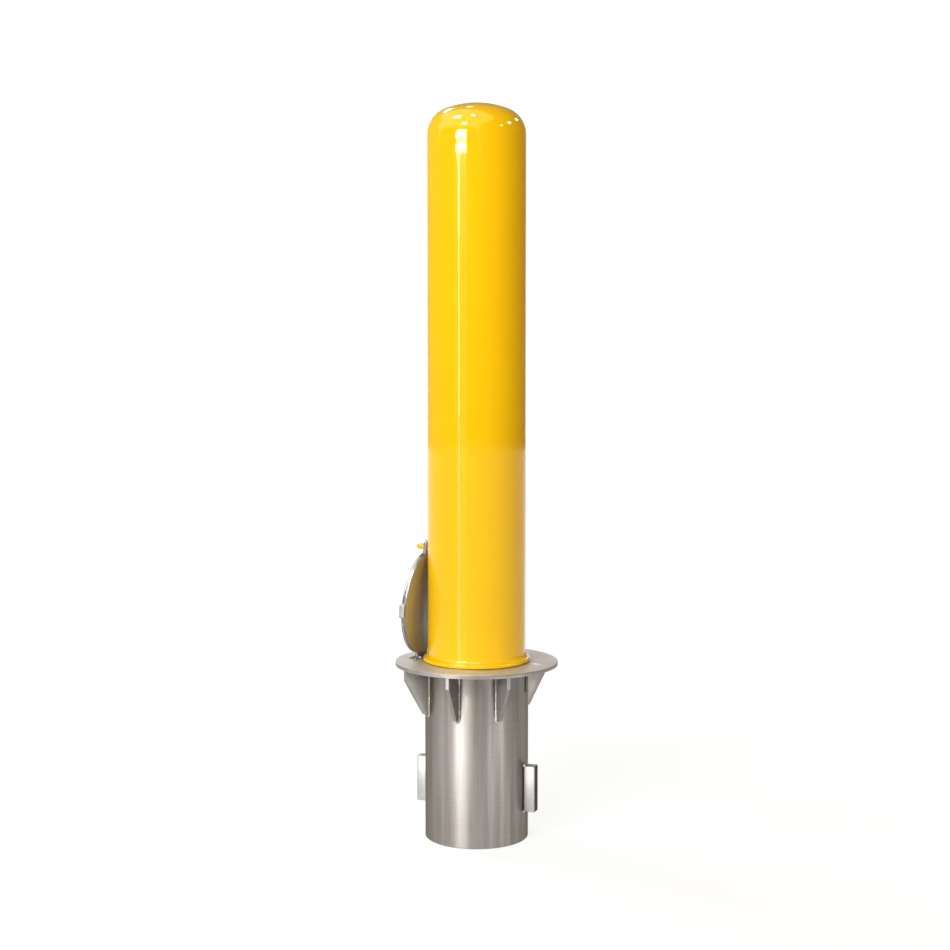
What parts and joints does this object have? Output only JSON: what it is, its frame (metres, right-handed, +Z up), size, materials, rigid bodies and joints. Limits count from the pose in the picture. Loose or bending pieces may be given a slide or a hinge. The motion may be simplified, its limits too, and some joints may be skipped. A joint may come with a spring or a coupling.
{
  "type": "removable bollard",
  "caption": "Domed steel bollard that lifts out of a flanged stainless ground sleeve, with a hinged lid held to the post's staple by a padlock.",
  "frame": {"origin": "centre of the ground sleeve's bottom end", "axes": "+Z up along the post, +X towards the lock side, the lid's hinge on the -X side"},
  "size_m": [0.2794, 0.2794, 1.2508],
  "materials": {
    "yellow_coating": "gloss powder coat",
    "brushed_stainless": "brushed stainless steel, welded"
  },
  "bodies": {
    "sleeve": {"sleeve_tube": "brushed_stainless", "flange_plate": "brushed_stainless", "gusset_1": "brushed_stainless", "gusset_2": "brushed_stainless", "gusset_3": "brushed_stainless", "gusset_4": "brushed_stainless", "gusset_5": "brushed_stainless", "gusset_6": "brushed_stainless", "anchor_lug_lock_side": "brushed_stainless", "anchor_lug_hinge_side": "brushed_stainless", "hinge_pin": "brushed_stainless"},
    "post": {"post_tube": "yellow_coating", "post_cap": "yellow_coating", "collar_ring": "yellow_coating", "lock_staple": "yellow_coating"},
    "lid": {"hinge_knuckle": "brushed_stainless", "lid_plate": "brushed_stainless", "lid_cover": "brushed_stainless", "lid_rim_lug": "brushed_stainless"}
  },
  "joints": [
    {"name": "post_lift", "type": "slide", "parent": "sleeve", "child": "post", "axis": [0, 0, 1], "range_m": [0, 0.1]},
    {"name": "lid_hinge", "type": "hinge", "parent": "sleeve", "child": "lid", "pos_m": [-0.099, 0, 0.30162], "axis": [0, -1, 0], "range_deg": [0, 40]}
  ]
}
